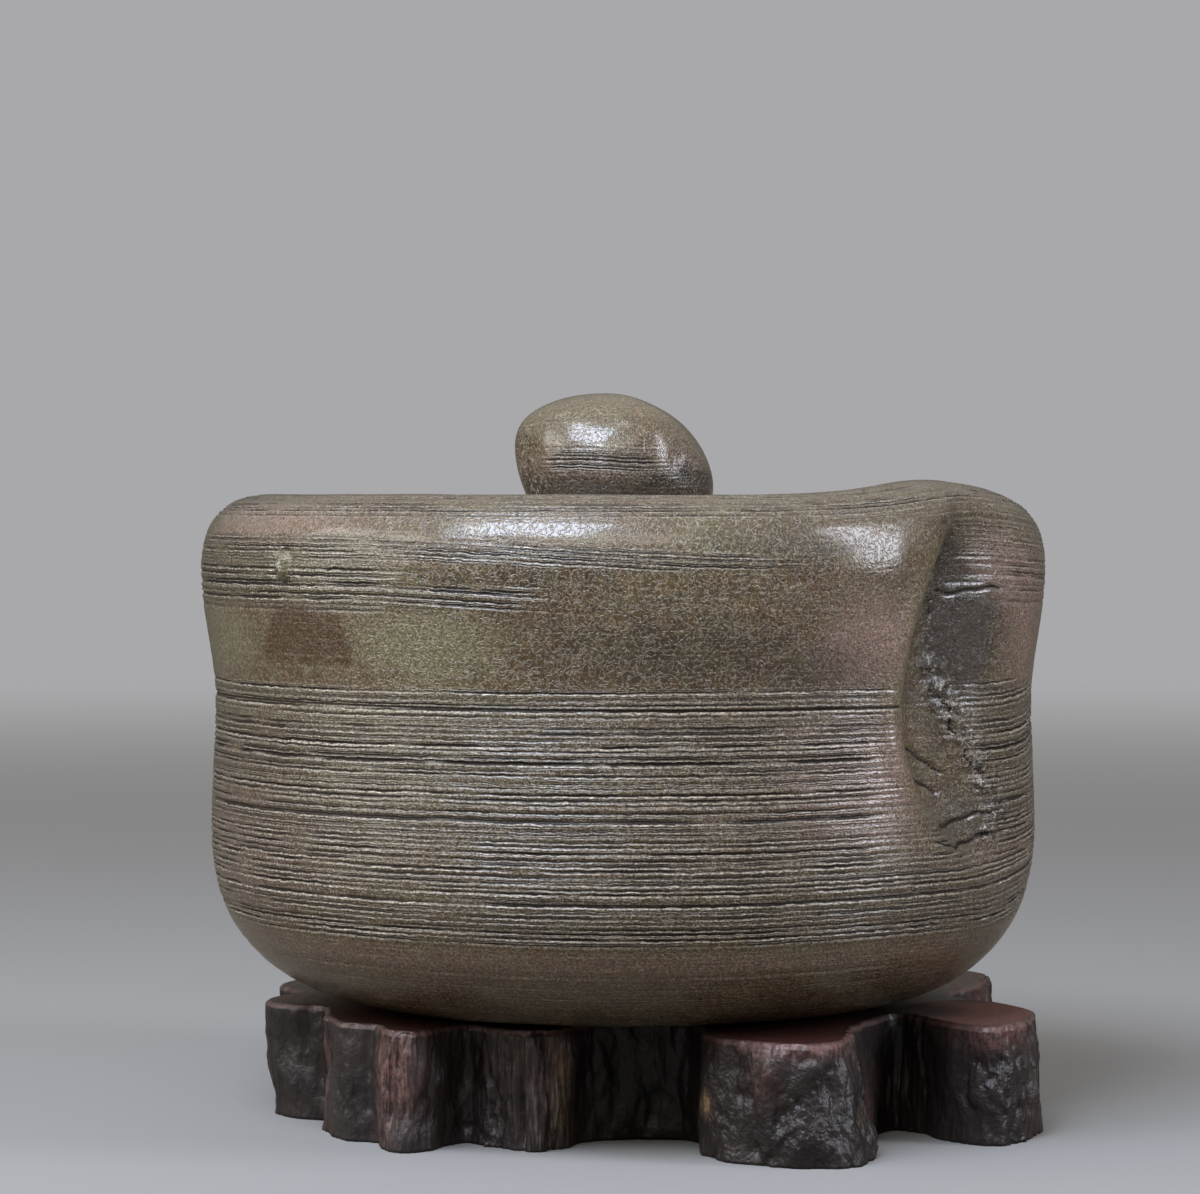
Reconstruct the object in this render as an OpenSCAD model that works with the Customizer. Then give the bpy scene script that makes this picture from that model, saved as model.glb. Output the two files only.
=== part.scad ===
// A low, wide water jar of ash-glazed stoneware with a drop-in lid,
// standing on a one-piece slice of a deeply fluted trunk.
// The origin lies on the ground under the jar's axis. +Z is up and -Y is the front.

/* [Stand] */
// Height of the wooden stand
stand_h = 24.5; // [16:0.5:40]
// Width of the stand from its left lobe to its right one
stand_w = 162; // [150:1:190]
// Rounding of the stand's upper edge
stand_round = 2; // [0.5:0.5:3]

/* [Jar wall] */
// Widest diameter of the jar, at its shoulder
jar_d = 180; // [172:1:210]
// Height of the jar from its flat base to the crown of its rim
jar_h = 108; // [102:0.5:140]
// Diameter of the flat base
base_d = 90; // [70:1:120]
// Diameter at the belly, low on the wall
belly_d = 175.5; // [168:0.5:200]
// Height of the belly above the base
belly_z = 37; // [28:0.5:44]
// Diameter at the waist, where a hand has drawn the wall in
waist_d = 174; // [168:0.5:200]
// Height of the waist above the base
waist_z = 65; // [56:0.5:74]
// Height above the base at which the jar is widest
shoulder_z = 92.5; // [86:0.5:96]
// Thickness of the clay wall
wall = 7; // [5:0.5:9]
// Thickness of the clay floor
floor_t = 8; // [5:0.5:12]

/* [Mouth] */
// Diameter of the mouth that the lid drops into
mouth_d = 132; // [110:1:140]
// Width of the rolled lip, from its crown in to the mouth
lip_w = 10; // [6:0.5:12]
// Fall of the rolled lip, from its crown down to the mouth's edge
lip_drop = 6; // [3:0.5:9]
// Depth of the lid's seat below the crown
seat_depth = 19; // [14:0.5:26]
// Width of the ledge that the lid rests on
seat_w = 9; // [6:0.5:14]
// Thickness of that ledge
seat_t = 7; // [5:0.5:9]

/* [Fold] */
// Direction of the pressed-in fold at the waist, in degrees from the front round to the right
fold_angle = 47; // [20:1:80]
// Depth of the fold
fold_depth = 9; // [3:0.5:11]
// Height above the base at which the fold starts
fold_low = 26; // [15:1:36]
// Height above the base at which the fold has its full depth
fold_full = 46; // [40:1:60]
// Height above the base from which the fold fades towards the rim
fold_fade = 88; // [70:1:95]
// Depth of the fold that is left at the crown of the rim
fold_crown = 2; // [0:0.5:3]
// Width of the fold's steep left side, in degrees
fold_left = 6.5; // [5:0.5:12]
// Width of the fold's broad right side, in degrees
fold_right = 11; // [5:0.5:14]
// Swing of the fold to the right at its lower end, in degrees
fold_swing_low = 18; // [0:1:24]
// Swing of the fold to the right at the rim, in degrees
fold_swing_high = 8; // [0:1:14]
// Lift of the rim above the fold
rim_lift = 3; // [0:0.5:5]
// Width of the rim's lift to each side, in degrees
rim_lift_w = 18; // [10:1:30]

/* [Lid] */
// Gap between the lid's edge and the mouth
lid_gap = 1.2; // [0.6:0.1:3]
// Thickness of the lid at its edge
lid_t = 7; // [5:0.5:9]
// Rise of the lid from its edge to the flat land under the knob
lid_rise = 1.5; // [0:0.5:4]
// Depth of the hollow turned into the lid's underside
lid_hollow = 2; // [1:0.5:3]

/* [Knob] */
// Width of the pebble-shaped knob
knob_d = 41.6; // [34:0.2:50]
// Height of the knob above the lid
knob_h = 32.4; // [24:0.2:40]
// Diameter of the knob's foot on the lid
knob_foot_d = 30; // [22:1:34]
// Height above the lid at which the knob is widest
knob_wide_z = 17; // [12:0.5:20]
// How far the knob's top leans to the left
knob_lean = 3.4; // [0:0.2:6]

/* [Hidden] */

// Radii and levels that follow from the sizes above
jar_r = jar_d / 2;
base_r = base_d / 2;
belly_r = belly_d / 2;
waist_r = waist_d / 2;
mouth_r = mouth_d / 2;
crown_r = mouth_r + lip_w;
throat_r = mouth_r - seat_w;
skirt_r = mouth_r + wall;
seat_z = jar_h - seat_depth;
lid_r = mouth_r - lid_gap;
lid_base_z = stand_h + seat_z;
knob_base_z = lid_base_z + lid_t + lid_rise;
knob_r = knob_d / 2;
knob_foot_r = knob_foot_d / 2;

// Exponent of the curves that turn the base and the shoulder, a little squarer than an ellipse
turn_n = 2.33;
// Overrun of cuts past the faces that they open
over = 1;
// Easing of the corner under the shoulder, inside the jar
corner = 1;
// Radius of the clay pad behind the fold
backing_r = 30;
// Easing of the lid's edges, and of the step from its margin into its hollow
lid_edge = 1.5;
hollow_inset = 1;
// Exponent of the knob's rounded top, and how far fingers have pressed it out of round
knob_n = 2.2;
knob_oval = 0.02;
knob_corner = 0.015;
// Steps round the jar, along its base turn, its wall, its shoulder and its lip
jar_sides = 96;
bowl_steps = 8;
wall_steps = 11;
shoulder_steps = 7;
lip_steps = 4;
// Steps round the knob and up it
knob_sides = 40;
knob_steps = 14;
// Steps between two points of the stand's outline, and across its rounded upper edge,
// which turns in by this many degrees before it runs out flat
outline_steps = 3;
edge_steps = 2;
edge_turn = 60;

clay = [0.43, 0.38, 0.29];
knob_clay = [0.46, 0.39, 0.30];
lacquered_wood = [0.20, 0.11, 0.09];

function mix(a, b, t) = a + (b - a) * t;
function ease(a, b, x) =
    let (t = max(0, min(1, (x - a) / (b - a))))
    t * t * (3 - 2 * t);
// A point at a radius and height, at an angle from the front round to the right
function around(r, z, angle) = [r * sin(angle), -r * cos(angle), z];
// Rising and falling sides of a squarish quarter curve
function rise(t) = pow(sin(90 * t), 2 / turn_n);
function fall(t) = pow(cos(90 * t), 2 / turn_n);

// Side faces between rings of n points, with a flat or fanned face at each end
function ring_sides(rings, n) =
    [for (k = [0 : rings - 2], i = [0 : n - 1])
        let (a = k * n + i, b = k * n + (i + 1) % n)
        each [[a, b + n, b], [a, a + n, b + n]]];

// The jar's section, from its base up the wall and over the lip, as [radius, height]
function bowl(t, r0, z0, r1, z1) = [mix(r0, r1, rise(t)), mix(z1, z0, fall(t))];
function arch(t, r0, z0, r1, z1) = [mix(r1, r0, fall(t)), mix(z0, z1, rise(t))];
function side_r(z) =
    z < waist_z ? mix(belly_r, waist_r, ease(belly_z, waist_z, z))
                : mix(waist_r, jar_r, ease(waist_z, shoulder_z, z));
function lip(t) = [
    crown_r - (lip_w + over) * sin(90 * t),
    jar_h - lip_drop * (1 - cos(90 * t))];
function wall_level(i) = mix(belly_z, shoulder_z, i / wall_steps);
outer_section = concat(
    [for (i = [0 : bowl_steps]) bowl(i / bowl_steps, base_r, 0, belly_r, belly_z)],
    [for (i = [1 : wall_steps]) [side_r(wall_level(i)), wall_level(i)]],
    [for (i = [1 : shoulder_steps]) arch(i / shoulder_steps, jar_r, shoulder_z, crown_r, jar_h)],
    [for (i = [1 : lip_steps]) lip(i / lip_steps)]);

// Inside of the jar: floor, wall, underside of the shoulder, ledge, seat and mouth
inner_section = concat(
    [[0, floor_t]],
    [for (i = [0 : bowl_steps])
        bowl(i / bowl_steps, base_r - wall, floor_t, belly_r - wall, belly_z)],
    [for (i = [1 : wall_steps]) [side_r(wall_level(i)) - wall, wall_level(i)]],
    [for (i = [1 : shoulder_steps])
        arch(i / shoulder_steps, jar_r - wall, shoulder_z, skirt_r + corner, jar_h - wall)],
    [[skirt_r, jar_h - wall - corner],
     [skirt_r, seat_z - seat_t],
     [throat_r, seat_z - seat_t],
     [throat_r, seat_z],
     [mouth_r, seat_z],
     [mouth_r, jar_h + rim_lift + over],
     [0, jar_h + rim_lift + over]]);

// The fold is a trough pressed in beside the front, deepest at the waist and curved like a bow
function fold_line(z) =
    z < waist_z ? fold_angle + fold_swing_low * pow((waist_z - z) / (waist_z - fold_low), 2)
                : fold_angle + fold_swing_high * pow((z - waist_z) / (jar_h - waist_z), 2);
function fold_reach(z) =
    mix(fold_depth, fold_crown, ease(fold_fade, jar_h, z)) * ease(fold_low, fold_full, z);
function fold_in(angle, z) =
    let (off = angle - fold_line(z), width = off < 0 ? fold_left : fold_right)
    fold_reach(z) * exp(-pow(off / width, 2));
function rim_up(angle, z) =
    let (off = angle - fold_line(jar_h))
    rim_lift * exp(-pow(off / rim_lift_w, 2)) * ease(waist_z, jar_h, z);

module jar_skin() {
    rings = len(outer_section);
    points = concat(
        [for (p = outer_section, i = [0 : jar_sides - 1])
            let (a = 360 * i / jar_sides - 180)
            around(p[0] - fold_in(a, p[1]), p[1] + rim_up(a, p[1]), a)],
        [[0, 0, 0], [0, 0, jar_h - lip_drop]]);
    base_point = rings * jar_sides;
    last = (rings - 1) * jar_sides;
    faces = concat(
        ring_sides(rings, jar_sides),
        [for (i = [0 : jar_sides - 1]) [base_point, i, (i + 1) % jar_sides]],
        [for (i = [0 : jar_sides - 1]) [base_point + 1, last + (i + 1) % jar_sides, last + i]]);
    polyhedron(points, faces);
}

// Clay that keeps the wall its full thickness behind the fold
module fold_backing() {
    reach = waist_r - fold_depth - wall + backing_r;
    turn = mix(fold_angle, fold_line(fold_full), 0.5);
    rotate([0, 0, turn])
        translate([0, -reach, 0])
        rotate_extrude($fn = 96)
        polygon([
            [0, fold_low - backing_r / 2], [backing_r, fold_low + backing_r / 2],
            [backing_r, jar_h], [0, jar_h]]);
}

module jar_body() {
    color(clay)
    translate([0, 0, stand_h])
    difference() {
        jar_skin();
        difference() {
            rotate_extrude($fn = 180) polygon(inner_section);
            fold_backing();
        }
    }
}

// The lid rests by its flat margin on the ledge, with its edges eased
module lid_plate() {
    margin_r = throat_r - hollow_inset;
    color(clay)
    translate([0, 0, lid_base_z])
    rotate_extrude($fn = 180)
    polygon([
        [0, lid_hollow], [margin_r - lid_hollow, lid_hollow], [margin_r, 0],
        [lid_r - lid_edge, 0], [lid_r, lid_edge], [lid_r, lid_t - lid_edge], [lid_r - lid_edge, lid_t],
        [knob_r, lid_t + lid_rise], [0, lid_t + lid_rise]]);
}

// The knob is a lump of clay pressed to a pebble in the fingers, leaning to the left
function knob_ring(z) =
    z < knob_wide_z ? mix(knob_foot_r, knob_r, sin(90 * z / knob_wide_z))
                    : knob_r * pow(1 - pow((z - knob_wide_z) / (knob_h - knob_wide_z), knob_n), 1 / knob_n);
function knob_press(angle, z) =
    1 - knob_oval * cos(2 * angle) * sin(180 * z / knob_h) - knob_corner * cos(3 * angle) * z / knob_h;

module lid_knob() {
    levels = [for (i = [0 : knob_steps - 1]) knob_h * sin(90 * i / knob_steps)];
    points = concat(
        [for (z = levels, i = [0 : knob_sides - 1])
            let (a = 360 * i / knob_sides)
            around(knob_ring(z) * knob_press(a, z), z, a) - [knob_lean * z / knob_h, 0, 0]],
        [[0, 0, 0], [-knob_lean, 0, knob_h]]);
    foot = knob_steps * knob_sides;
    last = (knob_steps - 1) * knob_sides;
    faces = concat(
        ring_sides(knob_steps, knob_sides),
        [for (i = [0 : knob_sides - 1]) [foot, i, (i + 1) % knob_sides]],
        [for (i = [0 : knob_sides - 1]) [foot + 1, last + (i + 1) % knob_sides, last + i]]);
    color(knob_clay)
    translate([0, 0, knob_base_z])
    polyhedron(points, faces);
}

// Outline of the trunk slice from above, from the recess at the front round to the right,
// as [x, y, how much further out the foot stands than the top]
trunk_outline = [
    [5, -40, 0], [14, -43, 0], [17, -56, 0], [20, -68, 0], [27, -74, 1], [36, -77, 1],
    [43, -72, 5], [45, -62, 6], [48, -46, 3], [55, -29, 0], [61, -31, 0], [66, -42, 0],
    [72, -48, 1], [78, -47, 1], [84, -36, 1], [86, -22, 1], [81, -9, 0], [73, 0, 0],
    [72, 12, 0], [78, 26, 0], [83, 42, 0], [77, 54, 0], [64, 55, 0], [55, 60, 0],
    [46, 71, 0], [33, 77, 0], [21, 72, 0], [12, 60, 0], [0, 57, 0], [-12, 62, 0],
    [-24, 73, 0], [-38, 74, 0], [-49, 64, 0], [-54, 50, 0], [-64, 43, 0], [-73, 35, 0],
    [-75, 24, 0], [-70, 13, 0], [-75, 4, -1], [-76, -5, -2], [-70, -11, -1], [-63, -15, 0],
    [-62, -25, 0], [-60, -36, 0], [-57, -42, 0], [-51, -45, 0], [-48, -54, 1], [-42, -58, 1],
    [-37, -51, 0], [-32, -45, 0], [-27, -50, 0], [-19, -57, 0], [-12, -52, 0], [-7, -43, 0]];
outline_x = [for (p = trunk_outline) p[0]];
outline_scale = stand_w / (max(outline_x) - min(outline_x));

// A smooth closed curve through the outline's points
function between(a, b, c, d, t) =
    b + 0.5 * t * (c - a + t * (2 * a - 5 * b + 4 * c - d + t * (3 * (b - c) + d - a)));
function closed_curve(p) =
    let (n = len(p))
    [for (i = [0 : n - 1], j = [0 : outline_steps - 1])
        between(p[(i + n - 1) % n], p[i], p[(i + 1) % n], p[(i + 2) % n], j / outline_steps)];
function inward(p, i) =
    let (n = len(p), d = p[(i + 1) % n] - p[(i + n - 1) % n], m = norm([d[0], d[1]]))
    [-d[1] / m, d[0] / m];

// The trunk's side and rounded upper edge, running on past the saw cuts above and below
module trunk_skin() {
    curve = closed_curve([for (p = trunk_outline) [p[0] * outline_scale, p[1] * outline_scale, p[2]]]);
    n = len(curve);
    // Rings up the side and over the edge, as [height, distance in from the side]
    round_top = stand_round * (1 - sin(edge_turn));
    round_in = stand_round * (1 - cos(edge_turn));
    levels = concat(
        [[-over, 0], [stand_h / 2, 0]],
        [for (k = [0 : edge_steps])
            let (a = edge_turn * k / edge_steps)
            [stand_h - stand_round * (1 - sin(a)), stand_round * (1 - cos(a))]],
        [[stand_h + over, round_in + (round_top + over) * tan(edge_turn)]]);
    points = [for (l = levels, i = [0 : n - 1])
        let (
            p = [curve[i][0], curve[i][1]],
            out = curve[i][2] * (1 - l[0] / stand_h),
            q = p * (1 + out / norm(p)) + inward(curve, i) * l[1])
        [q[0], q[1], l[0]]];
    last = (len(levels) - 1) * n;
    faces = concat(
        ring_sides(len(levels), n),
        [[for (i = [0 : n - 1]) i]],
        [[for (i = [n - 1 : -1 : 0]) last + i]]);
    polyhedron(points, faces);
}

module wood_stand() {
    color(lacquered_wood)
    intersection() {
        trunk_skin();
        translate([-stand_w, -stand_w, 0]) cube([2 * stand_w, 2 * stand_w, stand_h]);
    }
}

wood_stand();
jar_body();
lid_plate();
lid_knob();
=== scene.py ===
import math

import bpy
import numpy as np
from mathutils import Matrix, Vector


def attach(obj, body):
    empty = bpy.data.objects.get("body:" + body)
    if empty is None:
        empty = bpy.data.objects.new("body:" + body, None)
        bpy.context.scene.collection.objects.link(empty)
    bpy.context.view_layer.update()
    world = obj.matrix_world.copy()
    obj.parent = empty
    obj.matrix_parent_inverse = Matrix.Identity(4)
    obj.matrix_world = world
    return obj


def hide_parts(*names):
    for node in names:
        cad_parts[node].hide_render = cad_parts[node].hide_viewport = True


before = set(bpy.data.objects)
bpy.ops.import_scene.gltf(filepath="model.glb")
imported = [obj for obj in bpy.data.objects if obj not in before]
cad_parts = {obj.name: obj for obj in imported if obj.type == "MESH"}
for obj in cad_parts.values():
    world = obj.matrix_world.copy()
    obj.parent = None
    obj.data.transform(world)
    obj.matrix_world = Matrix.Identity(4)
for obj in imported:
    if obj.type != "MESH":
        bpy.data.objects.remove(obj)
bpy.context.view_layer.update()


# Stand: a one-piece slice of a deeply fluted trunk, with the lobes and hollows that it grew with.
# Its side is split, pitted and knotted under a nearly black lacquer; its sawn top is polished red-brown.
# It carries the jar, which only stands on it.
MM = 0.001
stand_h = 24.5
stand_round = 1.3
# Outline from above, from the hollow at the front round to the right: x, y, how far the foot stands out
trunk_outline = np.array([
    (5, -40, 0), (14, -43, 0), (17, -56, 0), (20, -68, 0), (27, -74, 1), (36, -77, 1),
    (43, -72, 5), (45, -62, 6), (48, -46, 3), (55, -29, 0), (61, -31, 0), (66, -42, 0),
    (72, -48, 1), (78, -47, 1), (84, -36, 1), (86, -22, 1), (81, -9, 0), (73, 0, 0),
    (72, 12, 0), (78, 26, 0), (83, 42, 0), (77, 54, 0), (64, 55, 0), (55, 60, 0),
    (46, 71, 0), (33, 77, 0), (21, 72, 0), (12, 60, 0), (0, 57, 0), (-12, 62, 0),
    (-24, 73, 0), (-38, 74, 0), (-49, 64, 0), (-54, 50, 0), (-64, 43, 0), (-73, 35, 0),
    (-75, 24, 0), (-70, 13, 0), (-75, 4, -1), (-76, -5, -2), (-70, -11, -1), (-63, -15, 0),
    (-62, -25, 0), (-60, -36, 0), (-57, -42, 0), (-51, -45, 0), (-48, -54, 1), (-42, -58, 1),
    (-37, -51, 0), (-32, -45, 0), (-27, -50, 0), (-19, -57, 0), (-12, -52, 0), (-7, -43, 0)], float)
outline_steps = 28
# Places on the side: x, y, z, reach across, reach in height, amount
torn_places = [
    (-62, -26, 12, 4, 40, 0.9), (-48, -56, 16, 6, 10, 1.0), (-50, -52, 4, 3.5, 7, 0.8), (-27, -50, 12, 5, 40, 0.5),
    (-15, -55, 13, 6, 40, 0.9), (46, -61, 12, 7, 40, 0.7), (84, -36, 12, 6, 40, 0.5), (60, -31, 12, 6, 40, 0.4),
    (80, 46, 12, 12, 40, 0.8), (-40, 73, 12, 14, 40, 0.7), (28, 75, 12, 10, 40, 0.6), (-70, 38, 12, 9, 40, 0.6)]
pitted_places = [
    (34, -76, 10, 15, 13, 1.0), (19, -66, 10, 8, 40, 0.7), (77, -47, 10, 10, 12, 1.0), (-28, -50, 5, 9, 9, 0.8),
    (-58, -40, 8, 6, 9, 0.5), (0, 58, 10, 16, 14, 0.7), (55, 61, 12, 9, 40, 0.8), (-60, 46, 10, 9, 12, 0.7)]
# Red heartwood; the places at z 23 and 23.5, on the top edges of the right and front blocks, are partly a painted
# highlight where those edges catch the light
heart_and_lit_edge_places = [
    (-48, -57, 17, 5.5, 9, 1.0), (-50.5, -50, 8, 3, 9, 0.7), (78, -48, 23, 10, 3.5, 0.9),
    (34, -77, 23.5, 15, 2.2, 0.85), (-62, -26, 14, 3.5, 20, 0.5), (-14, -54, 19, 5, 7, 0.35),
    (27, -75, 17, 3, 5, 0.45), (50, -45, 8, 5, 8, 0.3), (-38, 74, 21, 12, 5, 0.7), (80, 30, 20, 10, 6, 0.5)]
amber_places = [
    (-12.5, -53, 14, 2.4, 12, 0.35), (17.6, -63, 10.8, 2.0, 2.2, 1.2), (44.0, -68.5, 8, 2.2, 1.8, 1.3),
    (80, 30, 15, 3, 4, 0.6), (-40, 74, 10, 3, 5, 0.7)]
# Painted shade: places darkened in the hollows and on the front and right blocks
painted_shade_places = [
    (4, -40, 12, 13, 40, 1.1), (55, -29, 12, 9, 40, 0.9), (0, 57, 12, 9, 40, 0.6), (72, 6, 12, 7, 40, 0.4),
    (-63, -15, 12, 5, 40, 0.4), (34, -77, 9, 16, 13, 0.62), (80, -46, 9, 12, 12, 0.4)]
# Knots stand out by their amount in millimetres, and hollows go in
knot_places = [
    (28.7, -75, 18.5, 2.6, 2.6, 1.3), (36.3, -78, 5.5, 4.5, 4, 1.6), (-70, -11, 7, 3, 3, 0.7),
    (83, -38, 9, 3.5, 3.5, 1.2), (30, 77, 12, 5, 5, 1.4), (-70, 37, 9, 4, 4, 1.2), (-43, -57.5, 9, 3, 4, -0.7),
    (-21, -56, 10, 0.9, 14, -2.4), (-37, -51, 14, 3.2, 3.2, 0.7), (22, -70, 20, 4, 5, -0.8),
    (40, -75.5, 15, 3, 3, -0.9), (16.5, -60, 12, 8, 40, 2.4), (47, -62, 3, 7, 6, 2.0)]
# Places on the sawn top, with the distances up to which they are full and at which they end: the right lobe,
# left rough and paler by the saw, and painted shade behind the hollows on both its sides, under the jar
coarse_place = ((80, -26, stand_h), 18, 30)
top_shade_places = [((57, -22, stand_h), 8, 20), ((76, 5, stand_h), 8, 17)]


def ease(a, b, x):
    """A smooth step from 0 at a to 1 at b."""
    t = np.clip((x - a) / (b - a), 0, 1)
    return t * t * (3 - 2 * t)


def colour(text):
    """A linear colour from an sRGB hex value."""
    parts = [int(text[i:i + 2], 16) / 255 for i in (1, 3, 5)]
    return tuple(c / 12.92 if c <= 0.04045 else ((c + 0.055) / 1.055) ** 2.4 for c in parts) + (1.0,)


def add(tree, kind, inputs=None, **settings):
    """One node of a tree, with its settings, and a value or another node's socket on each input."""
    node = tree.nodes.new(kind)
    for name, value in settings.items():
        setattr(node, name, value)
    for key, value in (inputs or {}).items():
        if isinstance(value, bpy.types.NodeSocket):
            tree.links.new(value, node.inputs[key])
        else:
            node.inputs[key].default_value = value
    return node


def calc(tree, operation, a, b=0.0):
    """A sum, product or other step of arithmetic on two values."""
    return add(tree, "ShaderNodeMath", {0: a, 1: b}, operation=operation).outputs[0]


def span(tree, value, low, high, start=0.0, end=1.0, kind="LINEAR"):
    """A value moved from one range to another and kept inside it."""
    return add(tree, "ShaderNodeMapRange", {0: value, 1: low, 2: high, 3: start, 4: end},
               interpolation_type=kind).outputs[0]


def tint(tree, share, under, over):
    """A share of one colour laid over another."""
    return add(tree, "ShaderNodeMix", {0: share, 6: under, 7: colour(over)}, data_type="RGBA").outputs[2]


def cloudy(tree, place, size, detail=3.0, roughness=0.5, stretch=(1, 1, 1), seed=0.0):
    """Noise with clouds of a size in millimetres, drawn out where the stretch is under 1."""
    drawn = add(tree, "ShaderNodeVectorMath", {0: place, 1: stretch}, operation="MULTIPLY").outputs[0]
    scale = calc(tree, "DIVIDE", 1 / MM, size)
    return add(tree, "ShaderNodeTexNoise", {
        "Vector": drawn, "W": seed, "Scale": scale, "Detail": detail, "Roughness": roughness},
        noise_dimensions="4D").outputs[0]


def pushed(tree, way, height):
    """A move along a direction by a height in millimetres."""
    return add(tree, "ShaderNodeVectorMath", {0: way, "Scale": calc(tree, "MULTIPLY", height, MM)},
               operation="SCALE").outputs[0]


def ring_mesh(name, rings, poles=None, marks=None):
    """An object from closed rings of points in millimetres, ending in flat faces or in two poles."""
    rows, columns = rings.shape[:2]
    points = rings.reshape(-1, 3)
    here = np.arange(rows * columns).reshape(rows, columns)
    right = np.roll(here, -1, axis=1)
    faces = np.stack([here[:-1], right[:-1], right[1:], here[1:]], -1).reshape(-1, 4).tolist()
    if poles is None:
        faces += [here[0, ::-1].tolist(), here[-1].tolist()]
    else:
        first, last = len(points), len(points) + 1
        faces += [[first, int(b), int(a)] for a, b in zip(here[0], right[0])]
        faces += [[last, int(a), int(b)] for a, b in zip(here[-1], right[-1])]
        points = np.vstack([points, poles])
    mesh = bpy.data.meshes.new(name)
    mesh.from_pydata((points * MM).tolist(), [], faces)
    for mark, values in (marks or {}).items():
        flat = values.reshape(rows * columns, -1)
        if poles is not None:
            flat = np.vstack([flat, flat[:columns].mean(0), flat[-columns:].mean(0)])
        kind, field = {1: ("FLOAT", "value"), 3: ("FLOAT_VECTOR", "vector"),
                       4: ("FLOAT_COLOR", "color")}[flat.shape[1]]
        mesh.attributes.new(mark, kind, "POINT").data.foreach_set(field, flat.astype(np.float32).ravel())
    mesh.shade_smooth()
    if poles is None:
        for end in mesh.polygons[-2:]:
            end.use_smooth = False
    piece = bpy.data.objects.new(name, mesh)
    bpy.context.scene.collection.objects.link(piece)
    return piece


def size_tree(name, sizes):
    """A geometry tree that takes a piece, named sizes and a finish."""
    tree = bpy.data.node_groups.new(name, "GeometryNodeTree")
    tree.interface.new_socket("Piece", in_out="INPUT", socket_type="NodeSocketGeometry")
    for label in sizes:
        tree.interface.new_socket(label, in_out="INPUT", socket_type="NodeSocketFloat")
    tree.interface.new_socket("Finish", in_out="INPUT", socket_type="NodeSocketMaterial")
    tree.interface.new_socket("Piece", in_out="OUTPUT", socket_type="NodeSocketGeometry")
    return tree, tree.nodes.new("NodeGroupInput").outputs


def finish_tree(tree, size, move, kept):
    """Ends a geometry tree: moves the points, keeps named values and sets the finish."""
    piece = add(tree, "GeometryNodeSetPosition", {"Geometry": size["Piece"], "Offset": move}).outputs[0]
    for name, value in kept.items():
        piece = add(tree, "GeometryNodeStoreNamedAttribute", {"Geometry": piece, "Name": name, "Value": value},
                    data_type="FLOAT", domain="POINT").outputs[0]
    piece = add(tree, "GeometryNodeRealizeInstances", {"Geometry": piece}).outputs[0]
    piece = add(tree, "GeometryNodeSetMaterial", {"Geometry": piece, "Material": size["Finish"]}).outputs[0]
    add(tree, "NodeGroupOutput", {0: piece})


def grow(piece, tree, sizes, finish):
    """Runs a geometry tree on a piece and keeps the result as its plain mesh."""
    modifier = piece.modifiers.new(tree.name, "NODES")
    modifier.node_group = tree
    for item in tree.interface.items_tree:
        if item.in_out == "INPUT" and item.name in sizes:
            modifier[item.identifier] = float(sizes[item.name])
        if item.in_out == "INPUT" and item.name == "Finish":
            modifier[item.identifier] = finish
    bpy.context.view_layer.update()
    grown = bpy.data.meshes.new_from_object(piece.evaluated_get(bpy.context.evaluated_depsgraph_get()))
    piece.modifiers.clear()
    plain, piece.data = piece.data, grown
    bpy.data.meshes.remove(plain)
    grown.name = piece.name


def close(tree, place, at, full, none):
    """1 up to a distance in millimetres from a point, fading to 0 at a longer one."""
    off = add(tree, "ShaderNodeVectorMath", {0: place, 1: [v * MM for v in at]}, operation="DISTANCE").outputs[1]
    return span(tree, off, full * MM, none * MM, 1.0, 0.0, "SMOOTHSTEP")


def spread(places, x, y, z):
    """Sum of soft round places at points of a piece."""
    total = np.zeros_like(x)
    for px, py, pz, across, height, amount in places:
        total += amount * np.exp(-((x - px) ** 2 + (y - py) ** 2) / across ** 2 - ((z - pz) / height) ** 2)
    return total


# Smooth closed curve through the outline's points
a, b, c, d = (np.roll(trunk_outline, k, axis=0)[:, None, :] for k in (1, 0, -1, -2))
t = (np.arange(outline_steps) / outline_steps)[None, :, None]
curve = (b + 0.5 * t * (c - a + t * (2 * a - 5 * b + 4 * c - d + t * (3 * (b - c) + d - a)))).reshape(-1, 3)
along = np.roll(curve, -1, axis=0) - np.roll(curve, 1, axis=0)
inward = np.stack([-along[:, 1], along[:, 0]], -1) / np.hypot(along[:, 0], along[:, 1])[:, None]
# Rows up the side, over the rounded edge and on to the top: height, distance in, share of the side's relief
edge = np.radians(np.linspace(0, 90, 7))
rows = [(z, 0.0, 1.0) for z in np.linspace(0, stand_h - stand_round, 36)[:-1]]
rows += [(stand_h - stand_round * (1 - math.sin(e)), stand_round * (1 - math.cos(e)), math.sqrt(abs(math.cos(e))))
         for e in edge[:-1]]
rows += [(stand_h, stand_round, 0.0), (stand_h, stand_round + 0.3, 0.0)]
rings, outward = [], []
for z, inset, share in rows:
    foot = (curve[:, 2] * (1 - z / stand_h) / np.hypot(curve[:, 0], curve[:, 1]))[:, None]
    flat = curve[:, :2] * (1 + foot) + inward * inset
    rings.append(np.column_stack([flat, np.full(len(flat), z)]))
    outward.append(np.column_stack([-inward * share, np.zeros(len(flat))]))
rings, outward = np.array(rings), np.array(outward)
x, y, z = rings[..., 0], rings[..., 1], rings[..., 2]
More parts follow.
